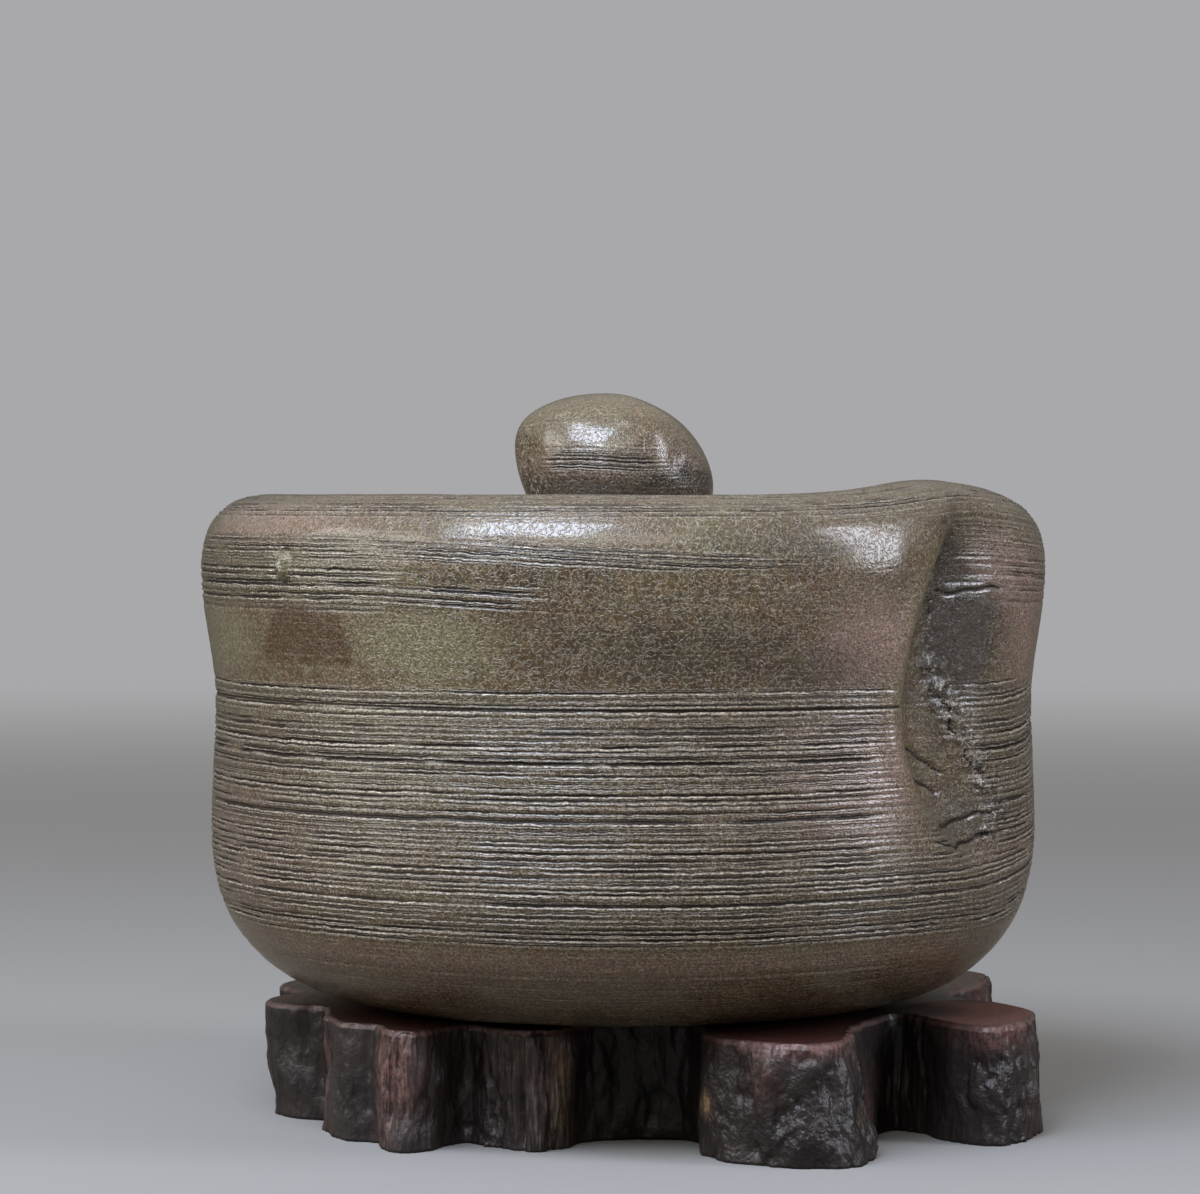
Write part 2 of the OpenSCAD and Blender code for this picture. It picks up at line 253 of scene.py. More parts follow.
# The lacquer is worn off about half a radian up the rounded edge, and that band is also a painted highlight along
# the edge
bend = np.array([math.asin(min(1, max(0, 1 + (r[0] - stand_h) / stand_round))) for r in rows])
on_edge = np.array([0 < r[2] < 1 for r in rows])
inset = np.array([r[1] for r in rows])
stand = ring_mesh("trunk_stand", rings, marks={
    "outward": outward,
    "torn": np.clip(0.1 + spread(torn_places, x, y, z), 0, 1),
    "pitted": np.clip(0.15 + spread(pitted_places, x, y, z), 0, 1),
    "heart_and_lit_edge": np.clip(spread(heart_and_lit_edge_places, x, y, z), 0, 1),
    "amber": np.clip(spread(amber_places, x, y, z), 0, 1),
    "knot": spread(knot_places, x, y, z),
    "painted_shade": np.clip(spread(painted_shade_places, x, y, z), 0, 1),
    "wear_and_highlight": (np.exp(-((bend - 0.5) / 0.4) ** 2) * on_edge)[:, None] * np.ones_like(x),
    "sawn": ease(stand_round * 0.6, stand_round, inset)[:, None] * np.ones_like(x)})

# Lacquered wood: torn grain that is black in its splits and darker in its pits,
# red-brown where the coat is thin, and glossy along the worn edges, which are paler partly from wear and partly as a
# painted highlight.
wood = bpy.data.materials.new("lacquered_trunk_wood")
wood.use_nodes = True
tree = wood.node_tree
tree.nodes.clear()
place = add(tree, "ShaderNodeTexCoord").outputs["Object"]
marks = {name: add(tree, "ShaderNodeAttribute", attribute_name=name).outputs["Fac"]
         for name in ("heart_and_lit_edge", "amber", "sawn", "split", "torn", "wear_and_highlight", "pitted", "painted_shade")}
# Fibres 0.7 mm across and ten times as long, cloudy patches of 14 mm and grit of 0.9 mm
fibre = cloudy(tree, place, 0.7, 4.0, 0.6, stretch=(1, 1, 0.1))
cloud = cloudy(tree, place, 14, 3.0)
grit = cloudy(tree, place, 0.9, 3.0, 0.65)
tone = tint(tree, span(tree, cloud, 0.4, 0.65), colour("#2b2728"), "#3a3130")
tone = tint(tree, calc(tree, "MULTIPLY", span(tree, fibre, 0.35, 0.7), 0.45), tone, "#121011")
dull = calc(tree, "MULTIPLY", span(tree, fibre, 0.5, 0.64, 0.0, 0.85), marks["torn"])
tone = tint(tree, dull, tone, "#75655c")
# Red heartwood, partly a painted highlight on the blocks' top edges, and amber spots
for mark, over in (("heart_and_lit_edge", "#86605a"), ("amber", "#a98f6a")):
    share = calc(tree, "MULTIPLY", marks[mark], span(tree, calc(tree, "ADD", grit, fibre), 0.85, 1.15, 0.15, 1.0))
    tone = tint(tree, share, tone, over)
# Worn edges: paler lacquer, partly wear and partly a painted highlight
tone = tint(tree, calc(tree, "MULTIPLY", marks["wear_and_highlight"], 0.5), tone, "#80605b")
# Splits and pits go near-black, and the same near-black is laid as painted shade over the hollows and blocks
painted_shade = calc(tree, "MULTIPLY", marks["painted_shade"], 0.85)
tone = tint(tree, calc(tree, "MAXIMUM", marks["split"], painted_shade), tone, "#080707")
# End grain of the sawn top, with year rings about 4 mm apart; the wave texture has 3.2 rings to a unit of its scale
ring = add(tree, "ShaderNodeTexWave", {
    "Vector": place, "Scale": 1 / (4 * MM) / 3.2, "Distortion": 14.0, "Detail": 3.0, "Detail Scale": 0.3},
    wave_type="RINGS", rings_direction="Z").outputs[1]
tone = tint(tree, marks["sawn"], tone, "#402420")
tone = tint(tree, calc(tree, "MULTIPLY", calc(tree, "MULTIPLY", ring, marks["sawn"]), 0.6), tone, "#2c1917")
coarse, *top_shade = (calc(tree, "MULTIPLY", close(tree, place, *where), marks["sawn"])
                 for where in [coarse_place] + top_shade_places)
tone = tint(tree, calc(tree, "MULTIPLY", coarse, span(tree, grit, 0.35, 0.65, 0.3, 1.0)), tone, "#6e4a3f")
# Painted shade on the top behind the hollows, under the jar
for share in top_shade:
    tone = tint(tree, calc(tree, "MULTIPLY", share, 0.85), tone, "#0b0908")
# Pits of 1.5 mm, which break the lacquer's shine into small glints
pock = add(tree, "ShaderNodeTexVoronoi", {
    "Vector": place, "Scale": 1 / (1.5 * MM), "Detail": 1.0, "Roughness": 0.6}).outputs[0]
relief = calc(tree, "MULTIPLY", fibre, calc(tree, "MULTIPLY", marks["torn"], 1.5))
relief = calc(tree, "ADD", relief, calc(tree, "MULTIPLY", grit, 0.5))
relief = calc(tree, "ADD", relief, calc(tree, "MULTIPLY", pock, calc(tree, "MULTIPLY", marks["pitted"], 0.55)))
bare = calc(tree, "MAXIMUM", marks["wear_and_highlight"], marks["sawn"])
relief = calc(tree, "MULTIPLY", relief, span(tree, bare, 0.0, 1.0, 1.0, 0.15))
bump = add(tree, "ShaderNodeBump", {"Height": relief, "Strength": 0.9, "Distance": 0.4 * MM}).outputs[0]
gloss = calc(tree, "MAXIMUM", span(tree, grit, 0.3, 0.7, 0.27, 0.48), calc(tree, "MULTIPLY", coarse, 0.8))
shader = add(tree, "ShaderNodeBsdfPrincipled", {
    "Base Color": tone, "Roughness": gloss, "Normal": bump, "IOR": 1.45}).outputs[0]
add(tree, "ShaderNodeOutputMaterial", {"Surface": shader})

# Relief of the trunk's side: lumps, upright fibres, narrow splits and pits, pushed in and out level with the floor
grain_sizes = {"Lump size": 8, "Lump depth": 1.2, "Fibre width": 1.3, "Fibre depth": 0.9, "Split spacing": 9,
               "Split depth": 1.7, "Pit size": 3.4, "Pit depth": 0.9, "Seed": 4}
grain, size = size_tree("trunk_grain", grain_sizes)
place = add(grain, "GeometryNodeInputPosition").outputs[0]
marks = {name: add(grain, "GeometryNodeInputNamedAttribute", {"Name": name}, data_type="FLOAT").outputs[0]
         for name in ("torn", "pitted", "knot")}
side = add(grain, "GeometryNodeInputNamedAttribute", {"Name": "outward"}, data_type="FLOAT_VECTOR").outputs[0]
seed = size["Seed"]
lump = cloudy(grain, place, size["Lump size"], 3.0, stretch=(1, 1, 0.6), seed=seed)
lump = span(grain, lump, 0.25, 0.75, -1.0, 1.0)
fibre = cloudy(grain, place, size["Fibre width"], 3.0, stretch=(1, 1, 0.1), seed=seed)
fibre = calc(grain, "MULTIPLY", span(grain, fibre, 0.25, 0.75, -1.0, 1.0), marks["torn"])
crack = cloudy(grain, place, size["Split spacing"], 3.0, stretch=(1, 1, 0.14), seed=seed)
crack = calc(grain, "ABSOLUTE", calc(grain, "SUBTRACT", crack, 0.5))
crack = calc(grain, "MULTIPLY", span(grain, crack, 0.0, 0.03, 1.0, 0.0, "SMOOTHSTEP"), marks["torn"])
pit = cloudy(grain, place, size["Pit size"], 2.0, seed=seed)
pit = calc(grain, "MULTIPLY", span(grain, pit, 0.5, 0.68, 0.0, 1.0, "SMOOTHSTEP"), marks["pitted"])
height = calc(grain, "ADD", calc(grain, "MULTIPLY", lump, size["Lump depth"]),
              calc(grain, "MULTIPLY", fibre, size["Fibre depth"]))
height = calc(grain, "ADD", height, marks["knot"])
height = calc(grain, "SUBTRACT", height, calc(grain, "MULTIPLY", crack, size["Split depth"]))
height = calc(grain, "SUBTRACT", height, calc(grain, "MULTIPLY", pit, size["Pit depth"]))
share = add(grain, "ShaderNodeVectorMath", {0: side}, operation="LENGTH").outputs[1]
dark = calc(grain, "MAXIMUM", crack, calc(grain, "MULTIPLY", pit, 0.5))
finish_tree(grain, size, pushed(grain, side, height), {"split": calc(grain, "MULTIPLY", dark, share)})
grow(stand, grain, grain_sizes, wood)
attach(stand, "stand")
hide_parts("wood_stand")


# Jar: a low, wide water jar of coarse stoneware, thrown thick and then pressed in at one side by hand.
# Comb teeth were drawn round the turning wall in bands, and wood ash melted to a thin, speckled olive glaze.
# It stands on the wood by its flat base, and a ledge inside its mouth carries the lid.
# Sizes in millimetres and angles in degrees, with heights above the base; turn_n is how square the bends are
jar_r, jar_h, base_r = 90.0, 108.0, 45.0
belly_r, belly_z, waist_r, waist_z, shoulder_z = 87.75, 37.0, 87.0, 65.0, 92.5
wall, floor_t = 7.0, 8.0
mouth_r, lip_w, lip_drop = 66.0, 10.0, 6.0
crown_r, throat_r, skirt_r = 76.0, 57.0, 73.0
seat_z, seat_t = 89.0, 7.0
turn_n = 2.33
fold_angle, fold_depth, fold_low, fold_full, fold_fade, fold_crown = 47.0, 9.0, 26.0, 46.0, 88.0, 2.0
fold_left, fold_right, fold_swing_low, fold_swing_high = 6.5, 11.0, 18.0, 8.0
rim_lift, rim_lift_w = 3.0, 18.0
tooth_step = 1.15
# Fired colours, among them painted shade, a painted highlight and a painted reflection: angle from the front round
# to the right, height above the floor, half width, half height, amount
chestnut_places = [(26, 100, 9, 5, 0.35), (120, 100, 14, 7, 0.9), (-140, 70, 30, 14, 0.5)]
# The three olive places along the fold's left crest are partly its colour and partly a painted highlight where it
# catches the light
olive_and_lit_crest_places = [
    (-74, 103, 15, 9, 0.9), (-27, 103, 12, 8, 0.8), (46, 117, 4, 8, 0.55), (42, 106, 4, 9, 0.55),
    (38, 92, 4, 12, 0.55), (60, 66, 7, 4, 0.3), (170, 100, 30, 10, 0.8), (14, 123, 26, 6, 0.25),
    (-45, 90, 40, 4, 0.5), (-44, 117, 16, 7, 0.7), (-49.8, 118.3, 1.6, 2.2, 1.0), (-24, 78, 14, 7, 0.4)]
# The rose place at 33 degrees is a painted reflection of the lamp running down the wall left of the crest
rose_and_reflection_places = [
    (78, 105, 14, 15, 1.15), (62, 118, 7, 8, 0.8), (33, 103, 8, 10, 0.75), (-58, 127, 24, 4, 0.55),
    (-120, 102, 18, 8, 0.7), (-64, 60, 20, 14, 0.5), (32, 76, 12, 14, 0.7), (70, 58, 14, 10, 0.5),
    (-5, 40.5, 70, 3, 0.4)]
# Smoke and painted shade: dark smoky clouds in the bands, and painted shade in the fold's trough, at its foot, up by
# the rim and low on the right
smoke_and_shade_places = [
    (55, 104, 8, 18, 1.0), (8, 101, 20, 7, 0.55), (28, 96, 9, 6, 0.4), (-15, 116.4, 15, 2.4, 0.4),
    (74, 46, 24, 10, 0.5), (58, 65, 9, 7, 0.7), (-150, 60, 40, 20, 0.5), (22, 124, 12, 5, 0.45),
    (51, 119, 4, 8, 0.7)]
# A patch that missed the ash, with its corners as angles and heights
bare_corners = [(-51.6, 109.6), (-56.0, 99.4), (-37.6, 99.2), (-39.6, 109.0)]
# Cracks in the pressed clay, as strokes: angles and heights of the ends, width
crack_strokes = [
    (39.6, 92.1, 43.2, 87.9, 0.30), (41.3, 82.2, 49.0, 79.6, 0.30), (49.0, 79.6, 53.4, 76.7, 0.33),
    (46.8, 75.2, 53.3, 72.4, 0.30), (52.3, 66.0, 58.0, 66.2, 0.30), (58.0, 66.2, 63.8, 67.6, 0.30),
    (46.7, 62.1, 59.2, 61.5, 0.27), (59.2, 61.5, 63.4, 63.3, 0.30), (52.0, 125.6, 50.2, 119.5, 0.30),
    (50.2, 119.5, 48.5, 114.4, 0.33), (48.5, 114.4, 49.6, 111.6, 0.33), (49.6, 111.6, 50.0, 107.0, 0.27),
    (51.5, 113.1, 62.0, 113.1, 0.24), (53.0, 92.0, 55.5, 84.0, 0.36), (57.0, 80.5, 60.5, 73.5, 0.30),
    (79.0, 84.2, 99.0, 86.6, 0.48)]
# Single grooves round the wall: height, half width, strength
lone_grooves = [(90.6, 0.4, 0.9), (38.2, 0.6, 0.5)]
# Places where the comb was lifted: share, then the angles and heights between which it is
lifted_places = [
    (0.6, (22, 32, 45, 50), (95, 98, 120, 124)), (0.6, (31, 36, 44, 47), (57, 62, 80, 86)),
    (0.85, (46, 50, 60, 66), (98, 102, 117, 121))]
# The torn scar down the fold, as angles and heights
scar_path = [(49.7, 100.1), (54.8, 86.7), (58.6, 79.0), (61.6, 71.4), (65.0, 67.9), (62.8, 63.3)]
# A grain of stone that the comb dragged round: angle, height, half width, half height
stone_at = (-49.8, 118.3, 1.8, 2.3)


def between(a, b, c, d, x):
    """A smooth rise from 0 at a to 1 at b, and a fall from 1 at c to 0 at d."""
    return ease(a, b, x) * (1 - ease(c, d, x))


def turned(r, angle, z):
    """Points at a radius, an angle from the front round to the right, and a height."""
    return np.stack([r * np.sin(np.radians(angle)), -r * np.cos(np.radians(angle)), z], -1)


def quarter(t):
    """Rising and falling sides of a squarish quarter curve."""
    return np.sin(np.pi / 2 * t) ** (2 / turn_n), np.clip(np.cos(np.pi / 2 * t), 0, 1) ** (2 / turn_n)


def jar_section(inset):
    """The jar's section from its base to its crown, or the inside's for an inset, as radius and height."""
    rise, fall = quarter(np.linspace(0, 1, 300))
    low = floor_t if inset else 0
    top_r, top_z = (skirt_r + 1, jar_h - inset) if inset else (crown_r, jar_h)
    bowl = np.column_stack([base_r - inset + (belly_r - base_r) * rise, belly_z + (low - belly_z) * fall])
    z = np.linspace(belly_z, shoulder_z, 300)[1:]
    side = np.where(z < waist_z, belly_r + (waist_r - belly_r) * ease(belly_z, waist_z, z),
                    waist_r + (jar_r - waist_r) * ease(waist_z, shoulder_z, z)) - inset
    arch = np.column_stack([top_r + (jar_r - inset - top_r) * fall, shoulder_z + (top_z - shoulder_z) * rise])
    return np.vstack([bowl, np.column_stack([side, z]), arch[1:]])


def spaced(line, spacing):
    """Points along a line, set apart by the spacing wanted at each of its own points."""
    step = np.hypot(*np.diff(line, axis=0).T)
    way = np.concatenate([[0], np.cumsum(step / ((spacing[1:] + spacing[:-1]) / 2))])
    wanted = np.linspace(0, way[-1], max(2, int(round(way[-1])) + 1))
    return np.column_stack([np.interp(wanted, way, line[:, k]) for k in (0, 1)])


def fold_line(z):
    """Angle of the fold's deepest line at a height above the base."""
    return fold_angle + np.where(z < waist_z, fold_swing_low * ((waist_z - z) / (waist_z - fold_low)) ** 2,
                                 fold_swing_high * ((z - waist_z) / (jar_h - waist_z)) ** 2)


def stroke(angle, z, ends, radius=84.0):
    """Distance in millimetres from points of the wall to a stroke drawn on it."""
    deg = math.radians(1) * radius
    p = np.stack([angle * deg, z], -1)
    a, b = np.array([ends[0] * deg, ends[1]]), np.array([ends[2] * deg, ends[3]])
    t = np.clip(((p - a) @ (b - a)) / ((b - a) @ (b - a)), 0, 1)
    return np.hypot(*np.moveaxis(p - a - t[..., None] * (b - a), -1, 0))


def inside_patch(angle, z, corners, radius=88.0):
    """1 well inside a patch on the wall and 0 well outside, changing over 8 mm across its edge."""
    deg = math.radians(1) * radius
    p = np.stack([angle * deg, z], -1)
    deep = np.full_like(z, 99.0)
    for (a0, z0), (a1, z1) in zip(corners, corners[1:] + corners[:1]):
        way = np.array([a1 - a0, 0]) * deg + np.array([0, z1 - z0])
        deep = np.minimum(deep, ((p - np.array([a0 * deg, z0])) @ np.array([-way[1], way[0]])) / np.hypot(*way))
    return np.clip(0.5 + deep / 8, 0, 1)


def fired(places, angle, z):
    """Sum of soft oval places on the wall, at angles and heights above the floor."""
    total = np.zeros_like(z)
    for at, height, wide, high, amount in places:
        off = (angle - at + 180) % 360 - 180
        total += amount * np.exp(-((off / wide) ** 2 + ((z - height) / high) ** 2) ** 1.5)
    return np.clip(total, 0, 1)


# Outside, with the lip that curls into the mouth: rings are closest where the comb lines are
outside = jar_section(0)
lip = np.radians(np.linspace(0, math.degrees(math.asin(lip_w / (lip_w + 1))), 60))[1:]
lip = np.column_stack([crown_r - (lip_w + 1) * np.sin(lip), jar_h - lip_drop * (1 - np.cos(lip))])
outside = np.vstack([outside, lip])
high = outside[:, 1] + stand_h
apart = np.select([high < 36, high < 40, high < 43, high < 95, high < 108, high < 126],
                  [1.5, 0.45, 1.2, 0.27, 0.65, 0.27], 0.42)
apart[-len(lip) - 1:] = 0.7
outside = spaced(outside, apart)
level = np.concatenate([[0], np.cumsum(np.hypot(*np.diff(outside, axis=0).T))])
# Inside: mouth, seat, throat, underside of the ledge, then the wall down to the floor
mouth_top = outside[-1, 1]
inside = [(mouth_r, mouth_top - 0.6), (mouth_r, seat_z + 6), (mouth_r, seat_z + 0.8), (mouth_r - 0.8, seat_z),
          (throat_r + 0.8, seat_z), (throat_r, seat_z - 0.8), (throat_r, seat_z - seat_t + 0.8),
          (throat_r + 0.8, seat_z - seat_t), (skirt_r - 0.8, seat_z - seat_t), (skirt_r, seat_z - seat_t + 0.8),
          (skirt_r, jar_h - wall - 1)]
cavity = jar_section(wall)[::-1]
cavity = spaced(cavity, np.full(len(cavity), 4.5))
inside = np.vstack([inside, cavity, [(base_r - wall) * 0.5, floor_t]])
section = np.vstack([[(base_r * 0.5, 0.0), (base_r - 1.5, 0.0)], outside, inside])
outer = np.zeros(len(section), bool)
outer[2:2 + len(outside)] = True
walls = np.zeros(len(section), bool)
walls[-len(cavity) - 1:-1] = True
levels = np.zeros(len(section))
levels[outer] = level
# Columns are closest across the fold and at the stone, and widest round the back
turn = np.concatenate([
    np.arange(-180, -104, 5.0), np.arange(-104, -54, 2.6), np.arange(-54, -46, 0.6), np.arange(-46, 33, 1.6),
    np.arange(33, 77, 0.55), np.arange(77, 104, 2.4), np.arange(104, 179, 5.0)])
angle, r = np.meshgrid(turn, section[:, 0])
z = np.repeat(section[:, 1:], len(turn), axis=1)
outer_at, wall_at = np.repeat(outer[:, None], len(turn), 1), np.repeat(walls[:, None], len(turn), 1)
off = angle - fold_line(z)
reach = fold_depth + (fold_crown - fold_depth) * ease(fold_fade, jar_h, z)
pressed = ease(fold_low - 5, fold_full + 5, z) * np.exp(-(off / np.where(off < 0, fold_left, fold_right)) ** 2)
dent = reach * pressed
# Clay pushed aside by the press stands up as a soft crest at the fold's left and a low bank at its right
crest_at = -8.5 + 4.5 * ease(75, 104, z)
banked = 1.8 * np.exp(-((off - crest_at) / 3.0) ** 2) * ease(fold_full - 6, fold_full + 8, z)
banked *= 1 - 0.7 * ease(fold_fade, jar_h, z)
banked += 0.6 * np.exp(-((off - 23) / 6) ** 2) * ease(fold_low, fold_full, z) * (1 - ease(fold_fade, jar_h, z))
inner_r = np.where(wall_at, np.maximum(r - dent, np.minimum(r, skirt_r + 0.5)), r)
r = np.where(outer_at, r - dent + banked, inner_r)
lift = rim_lift * np.exp(-((angle - fold_line(jar_h)) / rim_lift_w) ** 2) * ease(waist_z, jar_h, z)
up = np.where(outer_at, lift, 0)
up[2 + len(outside)] = up[1 + len(outside)]
above = z + up + stand_h
# The stone stands out in a ring-shaped dent; its distance is counted in its own half sizes
stone = np.hypot((angle - stone_at[0]) * math.radians(1) * jar_r / stone_at[2], (above - stone_at[1]) / stone_at[3])
stone = stone + 99 * ~outer_at
r = r + 1.3 * np.exp(-stone ** 2) - 0.5 * np.exp(-((stone - 1.5) / 0.35) ** 2)
# Bands of comb lines, which stop at the fold; the upper band narrows to a point before it and starts again beyond it
group_turn = [-33, -12, 7, 15, 22]
group_low = np.interp(angle, group_turn, [120.0, 118.3, 117.7, 117.8, 118.4])
group_high = np.interp(angle, group_turn, [123.6, 122.8, 121.6, 121.0, 119.6])
grouped = ease(-0.6, 0.6, above - group_low) * (1 - ease(-0.6, 0.6, above - group_high))
combed = np.maximum.reduce([
    between(43.2, 45, 86.5, 89.5, above),
    0.9 * between(87, 88.5, 93.5, 95.5, above),
    between(108.5, 110.5, 123.5, 125.5, above) * (1 - between(-35, -27, 47, 53, angle))
    * (1 - 0.45 * between(47, 55, 100, 120, angle)),
    grouped * between(-40, -30, 20, 25, angle),
    between(109.4, 110.6, 113.6, 115.4, above) * between(-40, -30, -15, -7, angle),
    0.65 * ease(127, 128.4, above + 3 * ease(36, 46, angle)),
    0.1 + 0.14 * (1 - ease(40, 46, above))])
in_fold = ease(0.2, 0.55, pressed) * (1 - ease(1, 6, off) * ease(110, 114, above)) * (1 - ease(124, 127, above))
on_crest = np.exp(-((off - crest_at) / 3.5) ** 2) * between(66, 74, 122, 126, above)
combed = combed * (1 - 0.92 * np.maximum(in_fold, on_crest)) * outer_at * ease(1.1, 1.7, stone)
for share, angles, heights in lifted_places:
    combed *= 1 - share * between(*angles, angle) * between(*heights, above)
# Distance to the nearest crack, single groove or edge of the stone, in widths of its own
gap = np.full_like(above, 9.0)
shaken = (angle + 0.5 * np.sin(0.9 * above) + 0.2 * np.sin(2.3 * above + 1),
          above + 0.5 * np.sin(0.5 * angle) + 0.2 * np.sin(1.4 * angle + 2))
for ends in crack_strokes:
    gap = np.minimum(gap, stroke(*shaken, ends) / (1.5 * ends[4]))
off_fold = (1 - in_fold) * (1 - between(38, 44, 120, 140, angle))
for height, width, amount in lone_grooves:
    ring_at = above - height + 0.25 * np.sin(np.radians(2 * angle + 40 * height))
    gap = np.minimum(gap, np.abs(ring_at) / width + 1.3 * (1 - amount * off_fold))
gap = np.minimum(gap, np.abs(stone - 1.5) / 0.4 + 0.4)
# Torn clay lies in clusters down the scar, and a little in the rest of the fold and on the stone
far = np.minimum.reduce([stroke(angle, above, a + b) for a, b in zip(scar_path, scar_path[1:])])
clustered = 0.45 + 0.55 * np.sin(0.62 * above + 0.4) ** 2
torn = (np.exp(-(far / 2.4) ** 2) + 0.12 * np.exp(-(far / 5.5) ** 2)) * clustered
torn += 0.03 * in_fold + 0.6 * np.exp(-stone ** 2)
bare = np.maximum(fired(chestnut_places, angle, above), inside_patch(angle, above, bare_corners))
tints_with_painted_light = [fired(places, angle, above) for places in (olive_and_lit_crest_places, rose_and_reflection_places, smoke_and_shade_places)]
# The lines rise to the right on the lobe beyond the fold, and sink towards it in the upper band
tilt = 5.0 * between(58, 100, 100, 150, angle) * (1 - ease(95, 115, above))
tilt -= 4.3 * between(-42, 24, 47, 53, angle) * between(104, 110, 123.5, 128, above)
jar = ring_mesh("combed_jar", turned(r, angle, above), poles=[(0, 0, stand_h), (0, 0, stand_h + floor_t)], marks={
    "level": (levels[:, None] - tilt) / tooth_step, "combed": combed, "gap": np.where(outer_at, gap, 9.0),
    "torn": np.clip(torn, 0, 1) * outer_at, "zone": np.stack([bare] + tints_with_painted_light, -1)})


def comb_cut(tree, line, place, wide=1.0):
    """Grooves and the lips under them along a count of tooth spacings, from 0 to 1 and broken up on their way."""
    groove = lip = 0.0
    # Three combs: spacing, strength, half width of a groove, and stray
    for step, weight, half, stray in ((1.0, 0.9, 0.21, 0.4), (0.45, 0.5, 0.24, 0.6), (4.6, 1.0, 0.05, 0.8)):
        at = calc(tree, "DIVIDE", line, step)
        cell = add(tree, "ShaderNodeTexVoronoi", {"W": at, "Scale": 1.0, "Randomness": stray},
                   voronoi_dimensions="1D").outputs
        below = calc(tree, "DIVIDE", calc(tree, "SUBTRACT", cell["W"], at), half * wide)
        own = span(tree, cell["Color"], 0.2, 0.8, 0.35 * weight, weight)
        deep = span(tree, calc(tree, "ABSOLUTE", below), 0.3, 1.0, 1.0, 0.0, "SMOOTHSTEP")
        groove = calc(tree, "MAXIMUM", groove, calc(tree, "MULTIPLY", own, deep))
        under = calc(tree, "MULTIPLY", span(tree, below, 0.8, 1.4), span(tree, below, 2.0, 3.4, 1.0, 0.0))
        lip = calc(tree, "MAXIMUM", lip, calc(tree, "MULTIPLY", own, under))
    broken = span(tree, cloudy(tree, place, 14, 3.0, stretch=(1, 1, 9)), 0.38, 0.54, 0.2, 1.0)
    return calc(tree, "MULTIPLY", groove, broken), calc(tree, "MULTIPLY", lip, broken)


# Ash-glazed stoneware: coarse sandy clay under a thin melted ash skin, which leaves the grooves dry and dark, with
# painted shade in their bottoms, thins to a pale lip under each, partly a painted highlight, and breaks every
# highlight into sparkles, some of them painted.
glaze = bpy.data.materials.new("ash_glazed_stoneware")
glaze.use_nodes = True
tree = glaze.node_tree
tree.nodes.clear()
place = add(tree, "ShaderNodeTexCoord").outputs["Object"]
marks = {name: add(tree, "ShaderNodeAttribute", attribute_name=name).outputs["Fac"]
         for name in ("line", "combed", "gap", "torn")}
fires = add(tree, "ShaderNodeAttribute", attribute_name="zone").outputs
zone = list(add(tree, "ShaderNodeSeparateColor", {0: fires["Color"]}).outputs) + [fires["Alpha"]]
# Clouds of 30 mm, streaks drawn out by the turning, rusty and mossy flecks of 9 mm, mottle of 4 mm, sand grains
# of 0.5 mm, curls of 1.1 mm, and torn beads along the comb ridges, 1 mm long and 0.4 mm high
cloud = span(tree, cloudy(tree, place, 30, 4.0, 0.55), 0.38, 0.62)
streak = span(tree, cloudy(tree, place, 9, 5.0, 0.6, stretch=(1, 1, 7)), 0.4, 0.66)
rust, moss = (span(tree, cloudy(tree, place, 9, 5.0, 0.65, stretch=(1, 1, 1.5), seed=k), 0.5, 0.62)
              for k in (5.0, 9.0))
mottle = cloudy(tree, place, 4, 5.0, 0.7)
sand = cloudy(tree, place, 0.5, 2.0, 0.6)
curl = calc(tree, "ABSOLUTE", calc(tree, "SUBTRACT", cloudy(tree, place, 1.1, 2.0, 0.5), 0.5))
curl = span(tree, curl, 0.01, 0.045, 1.0, 0.0)
bead = cloudy(tree, place, 1.0, 2.0, 0.6, stretch=(1, 1, 2.5))
line = calc(tree, "ADD", marks["line"], span(tree, cloudy(tree, place, 2.6, 2.0), 0.3, 0.7, -0.15, 0.15))
cut, lip = (calc(tree, "MULTIPLY", share, marks["combed"]) for share in comb_cut(tree, line, place))
cut = calc(tree, "MAXIMUM", cut, span(tree, marks["gap"], 0.1, 1.0, 0.9, 0.0, "SMOOTHSTEP"))
tone = tint(tree, cloud, colour("#5a462a"), "#64583a")
tone = tint(tree, calc(tree, "MULTIPLY", streak, 0.8), tone, "#725f45")
tone = tint(tree, calc(tree, "MULTIPLY", rust, 0.55), tone, "#553820")
tone = tint(tree, calc(tree, "MULTIPLY", moss, 0.5), tone, "#68664a")
tone = tint(tree, span(tree, mottle, 0.42, 0.66, 0.0, 0.6), tone, "#342518")
# Each fired place has its own edge: the olive, rose and smoky ones, with the painted light among them, melt away,
# the bare brown one is cut off short
for part, over, wide, stray in ((1, "#7a7457", 0.35, 0.45), (2, "#92766a", 0.35, 0.45),
                                (3, "#231a10", 0.4, 0.45), (0, "#472b09", 0.07, 0.12)):
    share = calc(tree, "ADD", zone[part], span(tree, mottle, 0.0, 1.0, -stray, stray))
    share = span(tree, share, 0.45 - wide, 0.45 + wide, 0.0, 0.85)
    tone = tint(tree, share, tone, over)
tone = tint(tree, calc(tree, "MULTIPLY", marks["combed"], 0.45), tone, "#3a2c1c")
